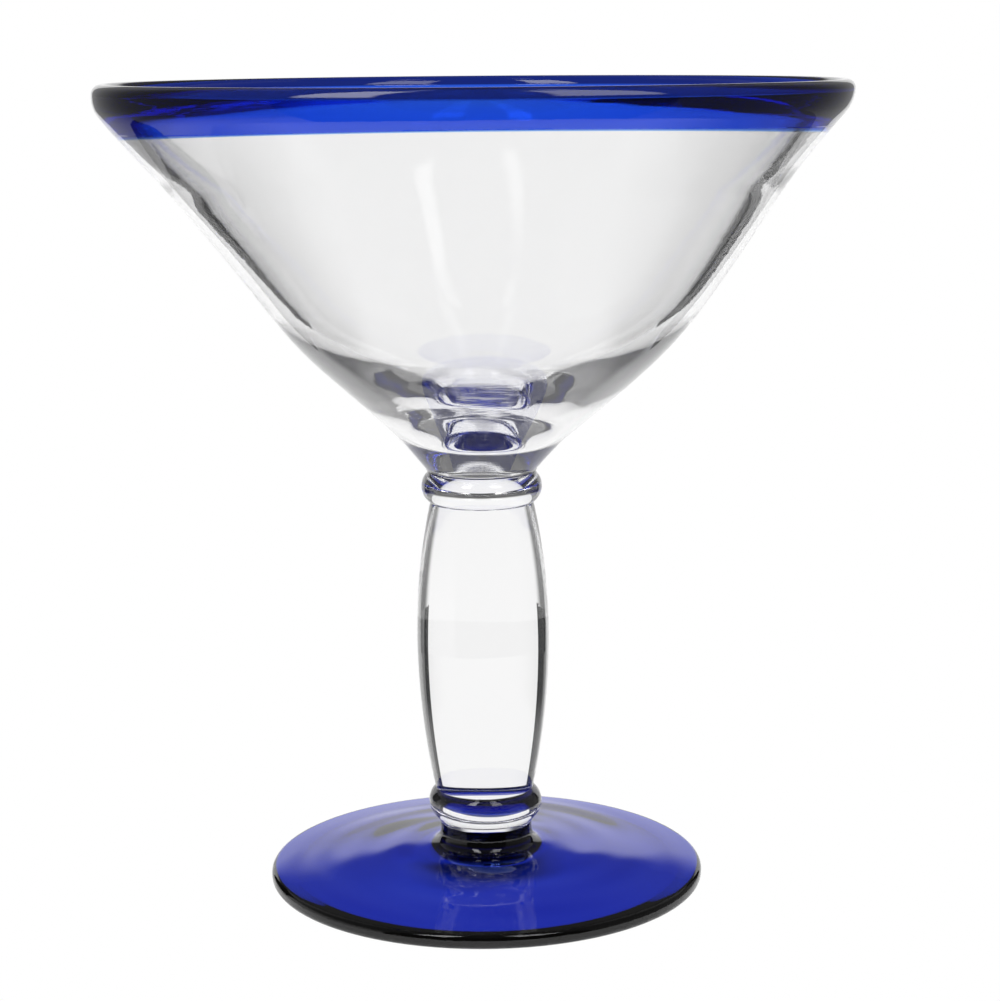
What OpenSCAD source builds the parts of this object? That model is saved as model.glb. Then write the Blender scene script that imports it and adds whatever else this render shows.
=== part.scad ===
// Stemmed cocktail glass, hand made from six gathers of glass that are joined hot.
// It stands on z = 0 with +Z up, and every piece is turned about the Z axis.

/* [Foot] */
// Diameter of the foot
foot_d = 92; // [84:1:104]
// Thickness of the foot at its rounded edge
foot_edge = 3; // [2.6:0.1:3.6]
// Height of the foot with its collar
foot_h = 12; // [11:0.5:14]
// Diameter of the collar where it meets the lower knop
collar_d = 19.4; // [17:0.2:21]
// Radius of the flare between the collar and the top of the foot
collar_flare = 3; // [1.5:0.5:3.5]
// Height that the cone of the foot reaches at the collar
foot_shoulder = 7.6; // [6.6:0.1:8]
// Depth of the hollow under the foot
foot_hollow = 3.8; // [2.6:0.1:3.9]
// Width of the flat ring that the foot rests on
rest_ring = 4; // [2:0.5:8]

/* [Lower knop] */
// Height of the ring between the foot and the stem
lower_knop_h = 7.6; // [6.8:0.2:8.6]
// Diameter of the ring between the foot and the stem
lower_knop_d = 24; // [23:0.2:27]

/* [Stem] */
// Height of the stem between its two rings
stem_h = 61.8; // [45:0.2:80]
// Diameter of the stem at its belly
belly_d = 27.8; // [25:0.2:32]
// Diameter at the bottom of the stem
stem_foot_d = 20.8; // [19:0.2:22.8]
// Diameter at the top of the stem
stem_top_d = 21.6; // [20:0.2:22.6]
// Height of the belly as a share of the stem
belly_share = 0.54; // [0.4:0.01:0.6]

/* [Upper knop] */
// Height of the ring between the stem and the bowl
upper_knop_h = 6.4; // [5.6:0.2:7.4]
// Diameter of the ring between the stem and the bowl
upper_knop_d = 25.2; // [24.4:0.2:28]

/* [Bowl] */
// Diameter of the glass at its lip
rim_d = 152.8; // [149:0.2:156]
// Height of the bowl from the upper knop to the lip
bowl_h = 80.2; // [78:0.2:82]
// Diameter of the neck of the bowl
neck_d = 22.8; // [20:0.2:24]
// Diameter where the neck opens into the wide bottom
throat_d = 33.2; // [31:0.2:36]
// Height of that throat above the neck
throat_h = 6.6; // [6:0.2:8]
// Diameter where the steep upper wall meets the wide bottom
bend_d = 78.8; // [75:0.2:82]
// Height of that bend above the neck
bend_h = 26.9; // [24:0.1:30]
// Diameter where the wall starts to flare below the lip
flare_d = 127.8; // [126:0.2:131]
// Height of the start of the flare above the neck
flare_h = 60.8; // [59:0.1:62.5]
// Thickness of the wall
wall = 4.6; // [4:0.1:5]
// Thickness of the solid bottom above the neck
solid_bottom = 9.2; // [8.4:0.2:11]
// Diameter of the floor inside the bowl
floor_d = 12; // [10:0.5:16]

/* [Rim band] */
// Height of the coloured band from its lower edge to the lip
band_h = 8.2; // [6.6:0.1:12]
// How far the band stands proud of the bowl
band_step = 0.15; // [0:0.05:0.3]
// Thickness of the rounded lip
lip_t = 3.8; // [3.6:0.1:4.4]

/* [Hidden] */
$fn = 96;
ARC_STEPS = 10;
STEM_STEPS = 28;

foot_r = foot_d / 2;
collar_r = collar_d / 2;
rim_r = rim_d / 2;
neck_r = neck_d / 2;

lower_knop_z = foot_h;
stem_z = lower_knop_z + lower_knop_h;
upper_knop_z = stem_z + stem_h;
neck_z = upper_knop_z + upper_knop_h;
rim_z = neck_z + bowl_h;
band_z = rim_z - band_h;
bend_z = neck_z + bend_h;
flare_z = neck_z + flare_h;
floor_z = neck_z + solid_bottom;

// Slope of the flared wall, and the height at which it would reach the lip's full width
FLARE_SLOPE = 0.85;
flare_top_z = flare_z + (rim_r - flare_d / 2) / FLARE_SLOPE;
band_r = flare_d / 2 + (band_z - flare_z) * FLARE_SLOPE;

// How far the bend inside the bowl lies above the bend outside, where the wall starts to thicken
INNER_BEND_RISE = 3.3;

// Wall thickness measured level across the flared wall and across the steep wall
flare_wall = wall * norm([1, FLARE_SLOPE]);
steep_slope = (flare_d / 2 - bend_d / 2) / (flare_h - bend_h);
steep_wall = wall * norm([1, steep_slope]);

// Share of the wall's thickness left where the flare starts
FLARE_THINNING = 0.97;

// How far the neck opens out and rises before its corner, and how far the floor inside the bowl dishes
NECK_LIP = [0.3, 0.9];
FLOOR_DISH = 0.2;

// Corner radii of the bowl, the band and the foot
NECK_FILLET = 1.5;
THROAT_RADIUS = 14;
BEND_RADIUS = 70;
INNER_BEND_RADIUS = 45;
FLARE_RADIUS = 80;
LIP_INNER_FILLET = 0.4;
FLOOR_FILLET = 14;
HOLLOW_RADIUS = 30;
HOLLOW_FLAT = 3;
EDGE_ROUND = foot_edge * 0.45;

// Rounded top of the lip, with a hair's breadth of flat left on it
LIP_FLAT = 0.02;
crest = lip_t / 2 - LIP_FLAT;

// Radius of the sweep from the flared wall into the lip, kept to the room above and below it
FULL_SWEEP = 7.4;
sweep_room = min(rim_z - crest - flare_top_z, (flare_top_z - band_z) * norm([1, FLARE_SLOPE]));
lip_sweep = min(FULL_SWEEP, 0.97 * sweep_room / tan(atan(FLARE_SLOPE) / 2));

// Radii of the round part of each knop, and the pinch below the lower one
LOWER_KNOP_ROUND = 3.9;
UPPER_KNOP_ROUND = 4;
KNOP_PINCH = 1.2;

// Height of the middle of each round part as a share of its knop
LOWER_KNOP_MIDDLE = 0.58;
UPPER_KNOP_MIDDLE = 0.52;

// Unit vector from a to b
function towards(a, b) = (b - a) / norm(b - a);

// Arc of a given radius in the corner b between its neighbours a and c
function corner_arc(a, b, c, radius) =
    let (
        u = towards(b, a),
        v = towards(b, c),
        half = acos(u * v) / 2,
        centre = b + towards([0, 0], u + v) * radius / sin(half),
        first = b + u * radius / tan(half) - centre,
        last = b + v * radius / tan(half) - centre,
        from = atan2(first.y, first.x),
        swing = atan2(last.y, last.x) - from,
        turn = swing > 180 ? swing - 360 : swing < -180 ? swing + 360 : swing
    )
    [
        for (i = [0 : ARC_STEPS])
            let (angle = from + turn * i / ARC_STEPS)
            centre + radius * [cos(angle), sin(angle)]
    ];

// Outline through points of [radius, height, corner radius], with each corner that has a radius rounded
function rounded(points) =
    let (last = len(points) - 1)
    [
        for (i = [0 : last])
            let (
                here = points[i],
                a = points[i == 0 ? last : i - 1],
                c = points[i == last ? 0 : i + 1]
            )
            each here[2] == 0
                ? [[here.x, here.y]]
                : corner_arc([a.x, a.y], [here.x, here.y], [c.x, c.y], here[2])
    ];

// Points of an arc about a centre, between two heights above it
function bulge(centre, radius, low, high) =
    [
        for (i = [0 : ARC_STEPS])
            let (angle = asin(low / radius) + (asin(high / radius) - asin(low / radius)) * i / ARC_STEPS)
            centre + radius * [cos(angle), sin(angle)]
    ];

module turned(outline) {
    rotate_extrude() polygon(outline);
}

// Cobalt disc: a short flared collar, a gently coned top, a round edge and a hollow underside
module foot() {
    color([0.14, 0.16, 0.72])
    turned(rounded([
        [0, foot_h, 0],
        [collar_r, foot_h, 0],
        [collar_r, foot_shoulder, collar_flare],
        [foot_r, foot_edge, EDGE_ROUND],
        [foot_r, 0, EDGE_ROUND],
        [foot_r - foot_edge / 2 - rest_ring, 0, 0],
        [collar_r + HOLLOW_FLAT, foot_hollow, HOLLOW_RADIUS],
        [0, foot_hollow, 0]
    ]));
}

// Clear ring: round above, drawn in below where it was pinched onto the collar
module lower_knop() {
    centre = [lower_knop_d / 2 - LOWER_KNOP_ROUND, lower_knop_z + lower_knop_h * LOWER_KNOP_MIDDLE];
    color([0.88, 0.92, 0.95, 0.5])
    turned(concat(
        [[0, lower_knop_z], [collar_r, lower_knop_z]],
        bulge(centre, LOWER_KNOP_ROUND, lower_knop_z + KNOP_PINCH - centre.y, stem_z - centre.y),
        [[0, stem_z]]
    ));
}

// Radius of the stem at a height: two parabolas that meet at the belly
function stem_radius(z) =
    let (
        belly_z = stem_z + stem_h * belly_share,
        low = (belly_d - stem_foot_d) / 2,
        high = (belly_d - stem_top_d) / 2,
        below = (belly_z - z) / (belly_z - stem_z),
        above = (z - belly_z) / (upper_knop_z - belly_z)
    )
    belly_d / 2 - (z < belly_z ? low * pow(below, 2) : high * pow(above, 2));

// Solid clear baluster
module stem() {
    heights = [for (i = [0 : STEM_STEPS]) stem_z + stem_h * i / STEM_STEPS];
    color([0.9, 0.94, 0.96, 0.5])
    turned(concat(
        [[0, stem_z]],
        [for (z = heights) [stem_radius(z), z]],
        [[0, upper_knop_z]]
    ));
}

// Clear ring with a round outside
module upper_knop() {
    centre = [upper_knop_d / 2 - UPPER_KNOP_ROUND, upper_knop_z + upper_knop_h * UPPER_KNOP_MIDDLE];
    color([0.88, 0.92, 0.95, 0.5])
    turned(concat(
        [[0, upper_knop_z]],
        bulge(centre, UPPER_KNOP_ROUND, upper_knop_z - centre.y, neck_z - centre.y),
        [[0, neck_z]]
    ));
}

// Clear cone with a wide lower part, a steep wall and a thick solid bottom
module bowl() {
    inner_band_r = band_r - flare_wall;
    inner_flare_r = flare_d / 2 - flare_wall * FLARE_THINNING;
    inner_bend_r = bend_d / 2 + INNER_BEND_RISE * steep_slope - steep_wall;
    color([0.88, 0.92, 0.95, 0.4])
    turned(rounded([
        [0, neck_z, 0],
        [neck_r, neck_z, 0],
        [neck_r + NECK_LIP.x, neck_z + NECK_LIP.y, NECK_FILLET],
        [throat_d / 2, neck_z + throat_h, THROAT_RADIUS],
        [bend_d / 2, bend_z, BEND_RADIUS],
        [flare_d / 2, flare_z, FLARE_RADIUS],
        [band_r, band_z, 0],
        [inner_band_r, band_z, 0],
        [inner_flare_r, flare_z, FLARE_RADIUS],
        [inner_bend_r, bend_z + INNER_BEND_RISE, INNER_BEND_RADIUS],
        [floor_d / 2, floor_z + FLOOR_DISH, FLOOR_FILLET],
        [0, floor_z, 0]
    ]));
}

// Cobalt wrap that makes the top of the wall and the thick rounded lip
module rim_band() {
    lip_r = rim_r - lip_t;
    inner_r = band_r - flare_wall;
    shoulder_z = min(band_z + (lip_r - inner_r) / FLARE_SLOPE, rim_z - crest - LIP_INNER_FILLET);
    color([0.08, 0.2, 0.8])
    turned(rounded([
        [inner_r, band_z, 0],
        [band_r + band_step, band_z, 0],
        [rim_r, flare_top_z, lip_sweep],
        [rim_r, rim_z, crest],
        [lip_r, rim_z, crest],
        [lip_r, shoulder_z, LIP_INNER_FILLET]
    ]));
}

foot();
lower_knop();
stem();
upper_knop();
bowl();
rim_band();
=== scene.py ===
"""A hand-made cocktail glass: six gathers of glass joined hot, on a pale floor in a lit tent."""
import math

import bpy
import numpy as np
from mathutils import Matrix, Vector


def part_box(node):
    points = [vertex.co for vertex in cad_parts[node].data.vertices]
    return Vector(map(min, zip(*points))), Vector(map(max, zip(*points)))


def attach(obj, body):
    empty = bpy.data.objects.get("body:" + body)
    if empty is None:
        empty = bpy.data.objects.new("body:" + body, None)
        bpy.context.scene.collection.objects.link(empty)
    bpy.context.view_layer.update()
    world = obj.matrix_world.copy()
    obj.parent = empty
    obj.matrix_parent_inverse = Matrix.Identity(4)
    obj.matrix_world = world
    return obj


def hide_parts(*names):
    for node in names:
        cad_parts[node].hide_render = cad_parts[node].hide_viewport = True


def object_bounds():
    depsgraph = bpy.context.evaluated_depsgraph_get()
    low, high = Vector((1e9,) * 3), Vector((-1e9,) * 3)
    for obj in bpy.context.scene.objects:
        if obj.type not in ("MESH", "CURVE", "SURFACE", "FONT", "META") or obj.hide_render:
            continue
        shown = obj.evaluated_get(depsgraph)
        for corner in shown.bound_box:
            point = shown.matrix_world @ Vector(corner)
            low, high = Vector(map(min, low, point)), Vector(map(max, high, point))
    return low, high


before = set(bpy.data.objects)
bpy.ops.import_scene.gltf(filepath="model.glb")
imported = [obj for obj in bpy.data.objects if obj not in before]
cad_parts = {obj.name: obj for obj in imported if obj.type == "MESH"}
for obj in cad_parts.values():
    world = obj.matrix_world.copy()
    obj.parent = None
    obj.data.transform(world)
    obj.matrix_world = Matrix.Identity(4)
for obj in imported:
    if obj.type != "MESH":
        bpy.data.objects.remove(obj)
cad_low, cad_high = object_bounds()
scene = bpy.context.scene
MM = 0.001


# ---------------------------------------------------------------- camera
# The camera stands just above the lip and looks a little down, close enough that the lip is seen
# edge on while the foot opens to a wide ellipse. Distances go by the height of the glass.
glass_height = cad_high.z
camera_data = bpy.data.cameras.new("camera")
camera_data.lens = 86.6
camera_data.sensor_width = 36.0
camera_data.clip_start = 0.01
camera = bpy.data.objects.new("camera", camera_data)
scene.collection.objects.link(camera)
LOOK_DOWN = math.radians(10.76)
ROLL = math.radians(-0.45)
camera.location = (3.8 * MM, -2.944 * glass_height, 1.0443 * glass_height)
aim = Matrix.Rotation(math.pi / 2 - LOOK_DOWN, 4, "X") @ Matrix.Rotation(ROLL, 4, "Z")
camera.rotation_mode = "QUATERNION"
camera.rotation_quaternion = aim.to_quaternion()
scene.camera = camera
scene.view_settings.view_transform = "Standard"
scene.cycles.max_bounces = 32
scene.cycles.transmission_bounces = 32
scene.cycles.glossy_bounces = 16
scene.cycles.transparent_max_bounces = 48
scene.cycles.blur_glossy = 0.0


# ---------------------------------------------------------------- studio
# A pale floor under a white sky, and a tent of panels round the glass that only its gloss and its
# refraction see: a white backdrop, dark cards and grey wings that draw the edges of clear glass,
# skirts on the floor, a dim ceiling with two strips, and two tall soft boxes behind the camera.
tent = bpy.data.objects.new("tent", None)
scene.collection.objects.link(tent)
# The tent turns about Z alone to keep facing the camera.
facing = tent.constraints.new("LOCKED_TRACK")
facing.target = camera
facing.track_axis = "TRACK_NEGATIVE_Y"
facing.lock_axis = "LOCK_Z"


def smoothstep(low, high, x):
    """0 below low, 1 above high, and an S-shaped cubic between."""
    t = np.clip((x - low) / (high - low), 0, 1)
    return t * t * (3 - 2 * t)


def glow(name, brightness):
    """Plain white Emission, dimmed over the surface by the attribute shade."""
    material = bpy.data.materials.new(name)
    material.use_nodes = True
    tree = material.node_tree
    tree.nodes.clear()
    shade = tree.nodes.new("ShaderNodeAttribute")
    shade.attribute_name = "shade"
    emission = tree.nodes.new("ShaderNodeEmission")
    emission.inputs["Strength"].default_value = brightness
    output = tree.nodes.new("ShaderNodeOutputMaterial")
    tree.links.new(shade.outputs["Color"], emission.inputs["Color"])
    tree.links.new(emission.outputs[0], output.inputs["Surface"])
    return material


def grid_mesh(name, points, faces):
    """Object at the origin from an array of points and an array of faces."""
    mesh = bpy.data.meshes.new(name)
    mesh.from_pydata(points.tolist(), [], faces.tolist())
    made = bpy.data.objects.new(name, mesh)
    scene.collection.objects.link(made)
    return made


def strip_faces(rows, columns):
    """Quads of an open grid of rows by columns."""
    i, j = np.meshgrid(np.arange(rows - 1), np.arange(columns - 1), indexing="ij")
    corner = i * columns + j
    return np.stack([corner, corner + 1, corner + columns + 1, corner + columns], -1).reshape(-1, 4)


def hung(panel, brightness, shade):
    """Hangs a panel in the tent, seen by gloss and refraction only, with a brightness at each point."""
    colour = np.ones((len(panel.data.vertices), 4), np.float32)
    colour[:, :3] = (np.zeros(len(colour)) + shade.reshape(-1))[:, None]
    panel.data.attributes.new("shade", "FLOAT_COLOR", "POINT").data.foreach_set("color", colour.reshape(-1))
    panel.data.materials.append(glow(panel.name, brightness))
    panel.parent = tent
    panel.visible_camera = False
    panel.visible_diffuse = False
    panel.visible_shadow = False


def soft_edge(share, width):
    """1 in the middle of a panel, falling to 0 at both edges over a width given as a share of it."""
    return smoothstep(0, width, share) * smoothstep(0, width, 1 - share)


PANEL_ROWS = 33
PANEL_COLUMNS = 65


def tent_panel(name, first, last, start, end, brightness, soft=0.0, shade=1.0):
    """Panel swept about Z from angle first to last, in degrees from straight behind the glass, between
    two points of (radius, height) that its cross-section joins with a straight line. soft is the width
    of its faded edges, as a share of the panel. shade may dim it at each angle and height."""
    angle = np.linspace(first, last, PANEL_COLUMNS)
    share = np.linspace(0, 1, PANEL_ROWS)[:, None]
    turn = np.radians(angle)
    radius = start[0] + (end[0] - start[0]) * share + 0 * turn
    height = start[1] + (end[1] - start[1]) * share + 0 * turn
    points = np.stack([radius * np.sin(turn), radius * np.cos(turn), height], -1).reshape(-1, 3)
    dim = shade(angle, height) if callable(shade) else shade + 0 * height
    if soft:
        dim = dim * soft_edge(share, soft) * soft_edge(np.linspace(0, 1, PANEL_COLUMNS), soft)
    hung(grid_mesh(name, points, strip_faces(PANEL_ROWS, PANEL_COLUMNS)), brightness, dim)


def tent_light(name, corners, brightness, soft=(0.35, 0.2), steps=17):
    """Flat panel between four corners, given as (right, behind, up) in metres. Each point is the mean of
    the corners, weighted by its share of the way across and along, and soft is the width of the faded
    edges in each of the two directions."""
    u, v = np.meshgrid(np.linspace(0, 1, steps), np.linspace(0, 1, steps))
    a, b, c, d = np.array(corners)[:, None, None, :]
    dim = soft_edge(u, soft[0]) * soft_edge(v, soft[1])
    u, v = u[..., None], v[..., None]
    points = ((a * (1 - u) + b * u) * (1 - v) + (d * (1 - u) + c * u) * v).reshape(-1, 3)
    hung(grid_mesh(name, points, strip_faces(steps, steps)), brightness, dim)


# Distances from the axis and heights, in metres.
FAR = 2.2
NEAR = 0.19
SKIRT = 0.075
LIFT = 0.0003
LOW = 0.09
FRONT_TOP = 0.18
TOP = 0.5
# Angles from straight behind the glass at which the cards start and the front starts.
CARD = 43
FRONT = 132
# Brightness, where white is 1.
CARD_GREY = 0.03
FRONT_GREY = 0.06
CEILING_GREY = 0.1
SKIRT_GREY = 0.12
WING_GREY = 0.15
WING_EDGE_GREY = 0.35


def backdrop_shade(angle, height):
    """Full over most of its height, fading out towards the top edge."""
    return 1 - 0.85 * smoothstep(0.66, 0.88, height) + 0 * angle


def skirt_shade(angle, height):
    """White along the skirt's inner edge and next to the backdrop. Elsewhere it falls to the skirts' grey
    over the first 45% of the skirt's width, from its inner edge outwards."""
    across = np.linspace(0, 1, PANEL_ROWS)[:, None]
    dark = smoothstep(0, 0.45, across) * smoothstep(CARD - 1, CARD + 10, np.abs(angle))
    return 1 + (SKIRT_GREY - 1) * dark + 0 * height


def side_shade(beyond):
    """The brightness beyond a card up to 30 mm high, then turning to the wings' grey at the top."""
    return lambda angle, height: beyond + (WING_GREY - beyond) * smoothstep(0.03, LOW, height)


def side_skirt_shade(beyond):
    """A skirt's brightness, but at least half of that beyond the card, and rising to white from 70
    degrees on to the front."""
    return lambda angle, height: np.clip(
        np.maximum(0.5 * beyond, skirt_shade(angle, height)) + smoothstep(70, FRONT, np.abs(angle)), 0, 1)


def wing_shade(angle, height):
    """Lighter where the wing starts, turning to the wings' grey by 82 degrees."""
    return WING_EDGE_GREY + (WING_GREY - WING_EDGE_GREY) * smoothstep(CARD, 82, np.abs(angle)) + 0 * height


tent_panel("backdrop", -60, 60, (FAR, LIFT), (FAR, 0.9), 1.0, shade=backdrop_shade)
for side, hand, card_end, beyond in ((-1, "left", 66, 0.6), (1, "right", 51, 0.2)):
    tent_panel(f"card_{hand}", side * CARD, side * card_end, (NEAR, LIFT), (NEAR, LOW), CARD_GREY)
    tent_panel(f"card_foot_{hand}", side * CARD, side * card_end, (SKIRT, LIFT), (NEAR, LIFT), 1.0,
               shade=skirt_shade)
    tent_panel(f"side_{hand}", side * card_end, side * FRONT, (NEAR, LIFT), (NEAR, LOW), 1.0,
               shade=side_shade(beyond))
    tent_panel(f"side_foot_{hand}", side * card_end, side * FRONT, (SKIRT, LIFT), (NEAR, LIFT), 1.0,
               shade=side_skirt_shade(beyond))
    tent_panel(f"wing_{hand}", side * CARD, side * FRONT, (NEAR, LOW), (NEAR, TOP), 1.0,
               shade=wing_shade)
    tent_panel(f"front_{hand}", side * FRONT, side * 180, (NEAR, LIFT), (NEAR, FRONT_TOP), FRONT_GREY)
tent_panel("ceiling", -180, 180, (0.001, TOP + 0.01), (NEAR, TOP + 0.01), CEILING_GREY)
tent_panel("soft_box_left", -158, -136, (NEAR, FRONT_TOP), (0.12, 0.40), 5.0, soft=0.12)
tent_panel("soft_box_right", 134, 164, (NEAR, FRONT_TOP), (0.12, 0.40), 3.2, soft=0.12)
tent_light("strip_right", (
    (0.035, 0.0, TOP), (0.075, 0.0, TOP), (0.15, -0.11, TOP), (0.085, -0.11, TOP)), 1.2)
tent_light("strip_left", (
    (-0.026, 0.0, TOP), (-0.054, 0.0, TOP), (-0.1, -0.11, TOP), (-0.055, -0.11, TOP)), 1.0)

# The floor is darker under the collar, as it would be in the shade of the thick glass there, and lies
# a hair below the foot.
SHADE_GREY = 0.12
SHADE_CORE = 8 * MM
SHADE_EDGE = 18 * MM
FLOOR_DROP = 0.15 * MM
floor_angle = np.linspace(0, 2 * np.pi, 97)
floor_radius = np.array([0.0, SHADE_CORE, 10 * MM, 12 * MM, 14 * MM, SHADE_EDGE, 0.2, 1.0, 8.0])[:, None]
floor_points = np.stack([
    floor_radius * np.cos(floor_angle),
    floor_radius * np.sin(floor_angle),
    0 * floor_radius + 0 * floor_angle - FLOOR_DROP,
], -1).reshape(-1, 3)
floor = grid_mesh("floor", floor_points, strip_faces(len(floor_radius), len(floor_angle)))
floor_shade = smoothstep(SHADE_CORE, SHADE_EDGE, floor_radius + 0 * floor_angle)
hung(floor, 1.0, SHADE_GREY + (1 - SHADE_GREY) * floor_shade)
floor.visible_camera = True

# The sky is white to the camera and to diffuse rays, and dim to gloss and refraction.
DIM_SKY = 0.12
sky = bpy.data.worlds.new("sky")
scene.world = sky
sky.use_nodes = True
sky_tree = sky.node_tree
sky_tree.nodes.clear()
seen = sky_tree.nodes.new("ShaderNodeBackground")
seen.inputs["Color"].default_value = (1, 1, 1, 1)
around = sky_tree.nodes.new("ShaderNodeBackground")
around.inputs["Color"].default_value = (1, 1, 1, 1)
around.inputs["Strength"].default_value = DIM_SKY
chooser = sky_tree.nodes.new("ShaderNodeMixShader")
sky_output = sky_tree.nodes.new("ShaderNodeOutputWorld")
ray_kind = sky_tree.nodes.new("ShaderNodeLightPath")
either = sky_tree.nodes.new("ShaderNodeMath")
either.operation = "MAXIMUM"
sky_tree.links.new(ray_kind.outputs["Is Camera Ray"], either.inputs[0])
sky_tree.links.new(ray_kind.outputs["Is Diffuse Ray"], either.inputs[1])
sky_tree.links.new(either.outputs[0], chooser.inputs["Fac"])
sky_tree.links.new(around.outputs[0], chooser.inputs[1])
sky_tree.links.new(seen.outputs[0], chooser.inputs[2])
sky_tree.links.new(chooser.outputs[0], sky_output.inputs["Surface"])


# ---------------------------------------------------------------- foot
# Cobalt glass, dropped onto the end of the stem as a soft gather, pressed and spun out to a disc with
# a round fire-polished edge. Its short collar flares out of the joint, and its underside is a little
# hollow, so that it rests on a ring.
def unit(v):
    """Vectors of length one along the last axis."""
    return v / np.linalg.norm(v, axis=-1, keepdims=True)


def rounded(points, steps=14):
    """Outline through rows of (radius, height, corner radius). A corner with a radius becomes the arc
    that touches both of its sides, centred on its bisector at radius / sin(half the corner's angle)."""
    points = np.array(points, float)
    outline = []
    for i, (here, bend) in enumerate(zip(points[:, :2], points[:, 2])):
        if bend == 0:
            outline.append(here[None])
            continue
        u = unit(points[i - 1, :2] - here)
        v = unit(points[(i + 1) % len(points), :2] - here)
        half = math.acos(float(u @ v)) / 2
        centre = here + unit(u + v) * bend / math.sin(half)
        first = here + u * bend / math.tan(half) - centre
        last = here + v * bend / math.tan(half) - centre
        start = math.atan2(first[1], first[0])
        turn = (math.atan2(last[1], last[0]) - start + math.pi) % (2 * math.pi) - math.pi
        angle = start + turn * np.linspace(0, 1, steps)
        outline.append(centre + bend * np.stack([np.cos(angle), np.sin(angle)], -1))
    return np.concatenate(outline)


def refined(outline, step, closed=False):
    """The outline with points added along its long stretches, no further than step apart."""
    if closed:
        outline = np.concatenate([outline, outline[:1]])
    along = np.concatenate([[0], np.cumsum(np.linalg.norm(np.diff(outline, axis=0), axis=1))])
    stretch = np.diff(along)
    counts = np.maximum(np.ceil(stretch / step - 1e-6), 1).astype(int)
    starts = np.repeat(along[:-1], counts)
    offset = np.arange(counts.sum()) - np.repeat(np.cumsum(counts) - counts, counts)
    places = starts + offset * np.repeat(stretch / counts, counts)
    if not closed:
        places = np.append(places, along[-1])
    return np.stack([np.interp(places, along, outline[:, k]) for k in (0, 1)], -1)


band_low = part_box("rim_band")[0].z
FLARE_SLOPE = 0.85


def hand_made(radius, height, angle):
    """What the maker's hand adds, as a function of place, so that pieces that meet still meet. By the
    band's edge, points slide along the cone by a sum of two cosines of the angle. Towards the lip,
    rounds turn a little oval, by cosines of two and three times the angle. The middle of each level
    is set off to the side, in steps at the collar, the neck, the bowl's middle and the lip."""
    wander = -0.26 - 1.11 * np.cos(2 * angle) + 0.4 * np.cos(angle)
    near_edge = smoothstep(0.146, band_low, height) * (1 - smoothstep(band_low, band_low + 3 * MM, height))
    slide = wander * MM * near_edge
    radius = radius + FLARE_SLOPE * slide
    lip = smoothstep(0.12, 0.16, height)
    oval = 1 + 0.0022 * lip * np.cos(2 * angle + 0.6) + 0.0012 * np.cos(3 * angle + 2.1) * lip
    lean = 0.95 * smoothstep(0.088, 0.106, height) - 2.15 * smoothstep(0.124, 0.160, height)
    lean += 0.42 * lip * smoothstep(0.160, 0.168, height) + 0.33 * (1 - smoothstep(0.013, 0.021, height))
    x = radius * oval * np.cos(angle) + lean * MM
    y = radius * oval * np.sin(angle)
    z = height + slide
    return x, y, z


def turned(name, outline, columns=256, ring=False, joints=(), swell=None):
    """Surface that the outline of (radius, height) sweeps about Z, as a grid of outline points by angles,
    closed by a pole at each end on the axis or, for a ring, by joining its last row to its first. swell
    adds to the height at each (row, angle). Faces between the two ends of a joint carry skin = 0."""
    angle = np.arange(columns) * 2 * np.pi / columns
    radius = outline[:, :1] + 0 * angle
    height = outline[:, 1:] + 0 * angle
    if swell is not None:
        height = height + swell(radius, height, angle)
    x, y, z = hand_made(radius, height, angle)
    points = np.stack([x, y, z], -1)
    rows = len(outline)
    i, j = np.meshgrid(np.arange(rows if ring else rows - 1), np.arange(columns), indexing="ij")
    below, above, following = i * columns, (i + 1) % rows * columns, (j + 1) % columns
    quads = np.stack([below + j, below + following, above + following, above + j], -1)
    inside = np.zeros(len(i), bool)
    for start, end in np.array(joints, float).reshape(-1, 2, 2):
        reach = end - start
        offset = outline - start
        along = offset @ reach / (reach @ reach)
        near = np.abs(offset[:, 0] * reach[1] - offset[:, 1] * reach[0]) < 1e-7 * np.linalg.norm(reach)
        near &= (along > -1e-6) & (along < 1 + 1e-6)
        inside |= near[: len(i)] & np.roll(near, -1)[: len(i)]
    skin = np.repeat(~inside, columns)
    points, quads = points.reshape(-1, 3), quads.reshape(-1, 4)
    if ring:
        faces = quads.tolist()
    else:
        body = quads[columns:-columns] - columns + 1
        last = (rows - 2) * columns
        j = np.arange(columns)
        top = points[last : last + columns]
        points = np.concatenate([points[:1] * [0, 0, 1], points[columns : last + columns], points[-1:]])
        points[0, :2] = points[1 : columns + 1, :2].mean(0)
        points[-1, :2] = top[:, :2].mean(0)
        fan_low = np.stack([np.zeros_like(j), 1 + (j + 1) % columns, 1 + j], -1)[:, ::-1]
        high = (rows - 3) * columns + 1
        fan_high = np.stack([high + j, high + (j + 1) % columns, np.full_like(j, len(points) - 1)], -1)
        faces = fan_low.tolist() + body.tolist() + fan_high.tolist()
    mesh = bpy.data.meshes.new(name)
    mesh.from_pydata(points.tolist(), [], faces)
    made = bpy.data.objects.new(name, mesh)
    scene.collection.objects.link(made)
    mesh.attributes.new("skin", "FLOAT", "FACE").data.foreach_set("value", skin.astype(np.float32))
    mesh.polygons.foreach_set("use_smooth", np.ones(len(faces), bool))
    mesh.set_sharp_from_angle(angle=math.radians(32))
    mesh.update()
    return made, skin


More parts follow.
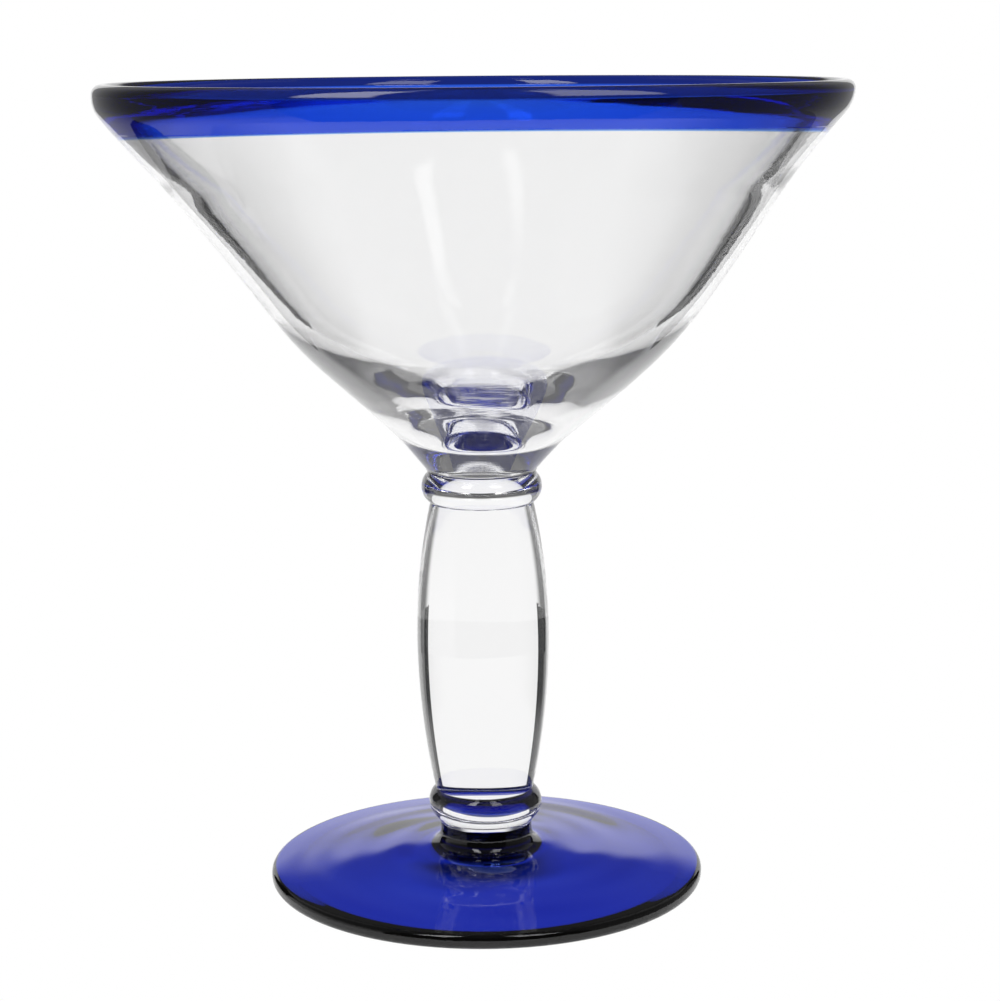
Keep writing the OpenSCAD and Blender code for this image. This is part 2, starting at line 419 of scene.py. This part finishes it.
def outward(piece):
    """Turns the faces round if the signed volume inside them is negative."""
    mesh = piece.data
    mesh.calc_loop_triangles()
    corner = np.empty(len(mesh.loop_triangles) * 3, np.int32)
    mesh.loop_triangles.foreach_get("vertices", corner)
    place = np.empty(len(mesh.vertices) * 3)
    mesh.vertices.foreach_get("co", place)
    a, b, c = place.reshape(-1, 3)[corner.reshape(-1, 3)].transpose(1, 0, 2)
    if np.einsum("ij,ij->i", a, np.cross(b, c)).sum() < 0:
        mesh.flip_normals()


class Value:
    """A number or a vector that a material's nodes work out. Arithmetic on it adds Math nodes."""

    def __init__(self, recipe, socket):
        self.recipe, self.socket = recipe, socket

    def _math(self, operation, a, b):
        return self.recipe.node("Math", {"operation": operation}, {0: a, 1: b})

    def __add__(self, other):
        return self._math("ADD", self, other)

    def __mul__(self, other):
        return self._math("MULTIPLY", self, other)

    __radd__, __rmul__ = __add__, __mul__


class Recipe:
    """A material being made up, node by node."""

    def __init__(self, name):
        self.material = bpy.data.materials.new(name)
        self.material.use_nodes = True
        self.tree = self.material.node_tree
        self.tree.nodes.clear()

    def node(self, kind, settings=None, sockets=None, output=0):
        """Adds a node with its settings, then the values or links of its sockets, and gives one output."""
        node = self.tree.nodes.new("ShaderNode" + kind)
        for name, setting in (settings or {}).items():
            setattr(node, name, setting)
        for name, value in (sockets or {}).items():
            if isinstance(value, Value):
                self.tree.links.new(value.socket, node.inputs[name])
            else:
                node.inputs[name].default_value = value
        return Value(self, node.outputs[output])

    def place(self, scale):
        """Object coordinates, in metres, scaled along each axis."""
        spot = self.node("TexCoord", output="Object")
        return self.node("Mapping", None, {"Vector": spot, "Scale": scale})

    def noise(self, scale, detail=2.0, roughness=0.5, distortion=0.0):
        """Smooth noise from 0 to 1, with so many cells a metre along each axis."""
        sockets = {"Vector": self.place(scale), "Scale": 1.0, "Detail": detail}
        sockets |= {"Roughness": roughness, "Distortion": distortion}
        return self.node("TexNoise", None, sockets, "Fac")

    def tint(self, factor, first, second):
        """Colour between two by a factor. The Mix node's colours are its sockets 6 and 7."""
        first, second = (c if isinstance(c, Value) else (*c, 1) for c in (first, second))
        return self.node("Mix", {"data_type": "RGBA"}, {0: factor, 6: first, 7: second}, 2)

    def finish(self, surface, volume=None):
        """Links the surface, and the volume if there is one, to the output, and gives the material."""
        output = {"Surface": surface} | ({"Volume": volume} if volume else {})
        node = self.tree.nodes.new("ShaderNodeOutputMaterial")
        for name, value in output.items():
            self.tree.links.new(value.socket, node.inputs[name])
        return self.material


GLASS_IOR = 1.52


def cobalt_glass(name, pale, deep, absorbed, density, dark=(0, 0, 0), dark_from=1.0):
    """Glass coloured right through: a cool tint at its surface that drifts between two shades where the
    colour was stirred in, and absorption that deepens it with thickness. Above the height dark_from the
    tint falls to dark: painted shade on the crest of the round lip, where light that bends inside the lip
    is lost. Its joint faces are open, so that light crosses a fused joint without bending. Faint tool
    rings give it a soft ripple."""
    recipe = Recipe(name)
    drift = recipe.noise((24, 24, 60), 3.0)
    rings = recipe.noise((30, 30, 900), 2.0, distortion=0.3)
    bump = recipe.node("Bump", None, {"Strength": 0.25, "Distance": 0.00004, "Height": rings + drift * 2.0})
    skin = recipe.node("Attribute", {"attribute_name": "skin"}, output="Fac")
    height = recipe.node("SeparateXYZ", None, {0: recipe.node("TexCoord", output="Object")}, "Z")
    # Painted shade: the tint turns dark above dark_from, on the crest of the lip.
    painted_lip_shade = recipe.node("MapRange", {"interpolation_type": "SMOOTHSTEP"}, {
        "Value": height, "From Min": dark_from, "From Max": dark_from + 0.5 * MM})
    surface = recipe.node("BsdfPrincipled", None, {
        "Base Color": recipe.tint(painted_lip_shade, recipe.tint(drift, pale, deep), dark),
        "Roughness": recipe.noise((90, 90, 90)) * 0.03,
        "IOR": GLASS_IOR,
        "Transmission Weight": 1.0,
        "Alpha": skin,
        "Normal": bump,
    })
    volume = recipe.node("VolumeAbsorption", None, {"Color": (*absorbed, 1), "Density": density})
    return recipe.finish(surface, volume)


def joined(piece, node):
    """Rides the only body and stands for its CAD node."""
    outward(piece)
    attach(piece, "root")
    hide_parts(node)


GAP = 0.01 * MM
foot_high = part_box("foot")[1]
foot_radius = foot_high.x
FOOT_EDGE = 3.0 * MM
FOOT_ROUND = FOOT_EDGE * 0.45
FOOT_SHOULDER = 7.6 * MM
FOOT_HOLLOW = 3.8 * MM
COLLAR_RADIUS = 9.7 * MM
COLLAR_FLARE = 3.0 * MM
REST_WIDTH = 4 * MM
REST_RADIUS = foot_radius - FOOT_EDGE / 2 - REST_WIDTH
HOLLOW_RADIUS = COLLAR_RADIUS + 3 * MM
foot_top = foot_high.z - GAP
foot_outline = refined(rounded([
    (0, foot_top, 0),
    (COLLAR_RADIUS, foot_top, 0),
    (COLLAR_RADIUS, FOOT_SHOULDER, COLLAR_FLARE),
    (foot_radius, FOOT_EDGE, FOOT_ROUND),
    (foot_radius, 0, FOOT_ROUND),
    (REST_RADIUS, 0, 0),
    (HOLLOW_RADIUS, FOOT_HOLLOW, 30 * MM),
    (0, FOOT_HOLLOW, 0),
]), 0.8 * MM)


SWELL = 0.045 * MM


def foot_swell(radius, height, angle):
    """Low swells left where the disc was pressed and spun: four sines that wind round the collar, two
    fine and two slow, each of a multiple of the radius plus a multiple of the angle. They fade out at
    the collar and at the edge, and the underside stays true."""
    on_top = smoothstep(0.3 * MM, 1.2 * MM, height - underside(radius))
    fade = smoothstep(13 * MM, 19 * MM, radius) * (1 - smoothstep(38 * MM, 45 * MM, radius))
    wave = np.sin(radius / (2.1 * MM) + 2 * angle + 0.8)
    wave = wave + 0.7 * np.sin(radius / (1.3 * MM) - 3 * angle + 2.0)
    slow = 1.6 * np.sin(2 * angle + radius / (9 * MM)) + 0.9 * np.sin(5 * angle - radius / (6 * MM) + 1.0)
    return SWELL * (wave + slow * 2.0) * fade * on_top


def underside(radius):
    """Height of the hollow under the foot: flat in the middle, then a straight fall to the rest ring."""
    fall = FOOT_HOLLOW * (REST_RADIUS - radius) / (REST_RADIUS - HOLLOW_RADIUS)
    return np.clip(fall, 0, FOOT_HOLLOW)


foot, _ = turned("cobalt_foot", foot_outline, swell=foot_swell, joints=[
    (0, foot_top), (COLLAR_RADIUS, foot_top)])
foot.data.materials.append(cobalt_glass(
    "cobalt_foot", (0.42, 0.45, 0.96), (0.34, 0.37, 0.93), (0.05, 0.32, 0.82), 950.0))
joined(foot, "foot")


# ---------------------------------------------------------------- lower knop
# A bead of clear glass trailed round the joint between stem and foot and pinched in: round above,
# drawn in below where it meets the collar.
HAZE = 0.015


def clear_glass(name, ring_scale, ring_height):
    """Clear glass that drifts between two very pale greys, with a little haze and a fire polish that is
    not quite even. Its tool rings are a bump, ring_scale cells a metre up the glass and ring_height
    deep."""
    recipe = Recipe(name)
    streaks = recipe.noise((30, 30, ring_scale), 3.0, distortion=0.4)
    swirl = recipe.noise((45, 45, 25), 2.0)
    bump = recipe.node("Bump", None, {
        "Strength": 0.3, "Distance": ring_height, "Height": streaks + swirl * 1.5})
    surface = recipe.node("BsdfPrincipled", None, {
        "Base Color": recipe.tint(swirl, (0.982, 0.982, 0.982), (0.966, 0.966, 0.966)),
        "Roughness": recipe.noise((80, 80, 80)) * 0.03,
        "IOR": GLASS_IOR,
        "Transmission Weight": 1 - HAZE,
        "Normal": bump,
    })
    return recipe.finish(surface)


def open_joint():
    """The face inside a fused joint, where nothing is to be seen."""
    recipe = Recipe("fused_joint")
    surface = recipe.node("BsdfPrincipled", None, {
        "Base Color": (1, 1, 1, 1), "Alpha": 0.0, "Roughness": 1.0, "Specular IOR Level": 0.0})
    return recipe.finish(surface)


fused_joint = open_joint()


def dressed(piece, skin, glass):
    """Glass on the outside, and the open material on the faces inside a joint."""
    piece.data.materials.append(glass)
    piece.data.materials.append(fused_joint)
    piece.data.polygons.foreach_set("material_index", np.where(skin, 0, 1).astype(np.int32))
    piece.data.update()


def bulge(centre, radius, low, high, steps=40):
    """Arc of a circle about centre between two heights."""
    first, last = (math.asin((height - centre[1]) / radius) for height in (low, high))
    angle = np.linspace(first, last, steps)
    return np.stack([centre[0] + radius * np.cos(angle), centre[1] + radius * np.sin(angle)], -1)


knop_low, knop_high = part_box("lower_knop")
STEM_FOOT = 10.4 * MM
low, high = knop_low.z + GAP, knop_high.z - GAP
KNOP_ROUND = 3.9 * MM
PINCH = 1.2 * MM
knop_centre = (knop_high.x - KNOP_ROUND, knop_low.z + 0.58 * (knop_high.z - knop_low.z))
knop_outline = refined(np.concatenate([
    [(0, low), (COLLAR_RADIUS, low)],
    bulge(knop_centre, KNOP_ROUND, knop_low.z + PINCH, high),
    [(0, high)],
]), 0.6 * MM)
lower_knop, lower_skin = turned("clear_lower_knop", knop_outline, joints=[
    (0, low), (COLLAR_RADIUS, low), (0, high), (STEM_FOOT, high)])
dressed(lower_knop, lower_skin, clear_glass("clear_knop", 500, 0.00002))
joined(lower_knop, "lower_knop")


# ---------------------------------------------------------------- stem
# A solid clear baluster, pressed in a mould and fire polished, fullest a little above its middle.
stem_low, stem_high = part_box("stem")
low, high = stem_low.z + GAP, stem_high.z - GAP
BELLY_SHARE = 0.54
STEM_TOP = 10.8 * MM
belly_height = stem_low.z + BELLY_SHARE * (stem_high.z - stem_low.z)
stem_height = np.linspace(low, high, 120)
below = np.clip((belly_height - stem_height) / (belly_height - stem_low.z), 0, 1)
above = np.clip((stem_height - belly_height) / (stem_high.z - belly_height), 0, 1)
stem_radius = stem_high.x - (stem_high.x - STEM_FOOT) * below**2 - (stem_high.x - STEM_TOP) * above**2
stem_outline = refined(np.concatenate([
    [(0, low)], np.stack([stem_radius, stem_height], -1), [(0, high)]]), 0.8 * MM)
stem, stem_skin = turned("clear_stem", stem_outline, joints=[
    (0, low), (STEM_FOOT, low), (0, high), (STEM_TOP, high)])
dressed(stem, stem_skin, clear_glass("clear_stem", 260, 0.00003))
joined(stem, "stem")


# ---------------------------------------------------------------- upper knop
# A second bead of clear glass round the joint between stem and bowl.
upper_low, upper_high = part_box("upper_knop")
NECK_RADIUS = 11.4 * MM
low, high = upper_low.z + GAP, upper_high.z - GAP
UPPER_ROUND = 4.0 * MM
upper_centre = (upper_high.x - UPPER_ROUND, upper_low.z + 0.52 * (upper_high.z - upper_low.z))
upper_outline = refined(np.concatenate([
    [(0, low)], bulge(upper_centre, UPPER_ROUND, low, high), [(0, high)]]), 0.6 * MM)
upper_knop, upper_skin = turned("clear_upper_knop", upper_outline, joints=[
    (0, low), (STEM_TOP, low), (0, high), (NECK_RADIUS, high)])
dressed(upper_knop, upper_skin, clear_glass("clear_upper_knop", 500, 0.00002))
joined(upper_knop, "upper_knop")


# ---------------------------------------------------------------- bowl
# Clear glass blown into a cone, thick and solid at the bottom. The wall bends in above the wide lower
# part and flares again just under the band.
bowl_low, bowl_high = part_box("bowl")
neck = bowl_low.z + GAP
THROAT = (16.6 * MM, bowl_low.z + 6.6 * MM)
BEND = (39.4 * MM, bowl_low.z + 26.9 * MM)
FLARE = (63.9 * MM, bowl_low.z + 60.8 * MM)
WALL_THICK = 4.6 * MM
BOWL_FLOOR = bowl_low.z + 9.2 * MM
FLOOR_RADIUS = 6.0 * MM
FLOOR_DISH = 0.2 * MM
band_radius = FLARE[0] + (bowl_high.z - FLARE[1]) * FLARE_SLOPE
flare_wall = WALL_THICK * math.hypot(1, FLARE_SLOPE)
steep_slope = (FLARE[0] - BEND[0]) / (FLARE[1] - BEND[1])
steep_wall = WALL_THICK * math.hypot(1, steep_slope)
BEND_RISE = 3.3 * MM
inner_bend = (BEND[0] + BEND_RISE * steep_slope - steep_wall, BEND[1] + BEND_RISE)
# The wall thins a little where it flares.
FLARE_THINNING = 0.97
JOINT_RISE = 1.24 * MM
joint_outer = np.array([band_radius, bowl_high.z])
joint_inner = joint_outer + [-flare_wall + JOINT_RISE * FLARE_SLOPE, JOINT_RISE]


def eased(outline, reach, start):
    """The outline averaged along its length with a raised-cosine weight that reaches so far either way,
    fully above height start + 8 mm and not at all below start, so that its curve has no sudden change.
    Its ends stay where they are."""
    step = 0.25 * MM
    fine = refined(outline, step)
    half = int(reach / step)
    weight = 1 + np.cos(np.linspace(-math.pi, math.pi, 2 * half + 1))
    before = 2 * fine[0] - fine[1 : half + 1][::-1]
    after = 2 * fine[-1] - fine[-half - 1 : -1][::-1]
    padded = np.concatenate([before, fine, after])
    soft = np.stack([np.convolve(padded[:, k], weight / weight.sum(), "valid") for k in (0, 1)], -1)
    share = smoothstep(start, start + 8 * MM, fine[:, 1:])
    return fine + (soft - fine) * share


bowl_outside = eased(rounded([
    (0, neck, 0),
    (NECK_RADIUS, neck, 0),
    (NECK_RADIUS + 0.3 * MM, neck + 0.9 * MM, 1.5 * MM),
    (*THROAT, 14 * MM),
    (*BEND, 70 * MM),
    (*FLARE, 80 * MM),
    (*(joint_outer - [0, GAP]), 0),
], 24), 12 * MM, THROAT[1])
bowl_inside = eased(rounded([
    (*(joint_inner - [0, GAP]), 0),
    (FLARE[0] - flare_wall * FLARE_THINNING, FLARE[1], 80 * MM),
    (*inner_bend, 45 * MM),
    (FLOOR_RADIUS, BOWL_FLOOR + FLOOR_DISH, 14 * MM),
    (0, BOWL_FLOOR, 0),
], 24), 12 * MM, BOWL_FLOOR)
# Every fourth point of the fine lines keeps their curve, and the last point of each is kept too.
bowl_outline = refined(np.concatenate([
    bowl_outside[::4], bowl_outside[-1:], bowl_inside[::4], bowl_inside[-1:]]), 1.0 * MM)
bowl, bowl_skin = turned("clear_bowl", bowl_outline, columns=320, joints=[
    (0, neck), (NECK_RADIUS, neck), joint_outer - [0, GAP], joint_inner - [0, GAP]])
dressed(bowl, bowl_skin, clear_glass("clear_bowl", 420, 0.00004))
joined(bowl, "bowl")


# ---------------------------------------------------------------- rim band
# A thick trail of cobalt glass wrapped round the lip of the bowl and melted in, which makes the top of
# the wall and the round lip. It stands a hair proud of the bowl.
rim_low, rim_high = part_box("rim_band")
low, lip_top = rim_low.z + GAP, rim_high.z
rim_radius = rim_high.x
LIP_THICK = 3.8 * MM
LIP_FLAT = 0.02 * MM
BAND_STEP = 0.15 * MM
lip_reach = FLARE[1] + (rim_radius - FLARE[0]) / FLARE_SLOPE
crest = LIP_THICK / 2 - LIP_FLAT
lip_shoulder = low + (rim_radius - LIP_THICK - band_radius + flare_wall) / FLARE_SLOPE
rim_outline = refined(rounded([
    (*(joint_inner + [0, GAP]), 0),
    (*(joint_outer + [0, GAP]), 0),
    (band_radius + BAND_STEP, low + 0.12 * MM, 0.1 * MM),
    (rim_radius, lip_reach, 7.4 * MM),
    (rim_radius, lip_top, crest),
    (rim_radius - LIP_THICK, lip_top, crest),
    (rim_radius - LIP_THICK, lip_shoulder, 0.4 * MM),
], 24), 0.5 * MM, closed=True)
rim_band, _ = turned("cobalt_rim_band", rim_outline, columns=320, ring=True, joints=[
    joint_inner + [0, GAP], joint_outer + [0, GAP]])
# From 2.4 mm under the top of the lip the tint turns dark navy: painted shade on the lip's crest.
rim_band.data.materials.append(cobalt_glass(
    "cobalt_rim", (0.32, 0.55, 1.0), (0.26, 0.47, 0.97), (0.054, 0.444, 0.915), 680.0,
    (0.05, 0.07, 0.24), lip_top - 2.4 * MM))
joined(rim_band, "rim_band")
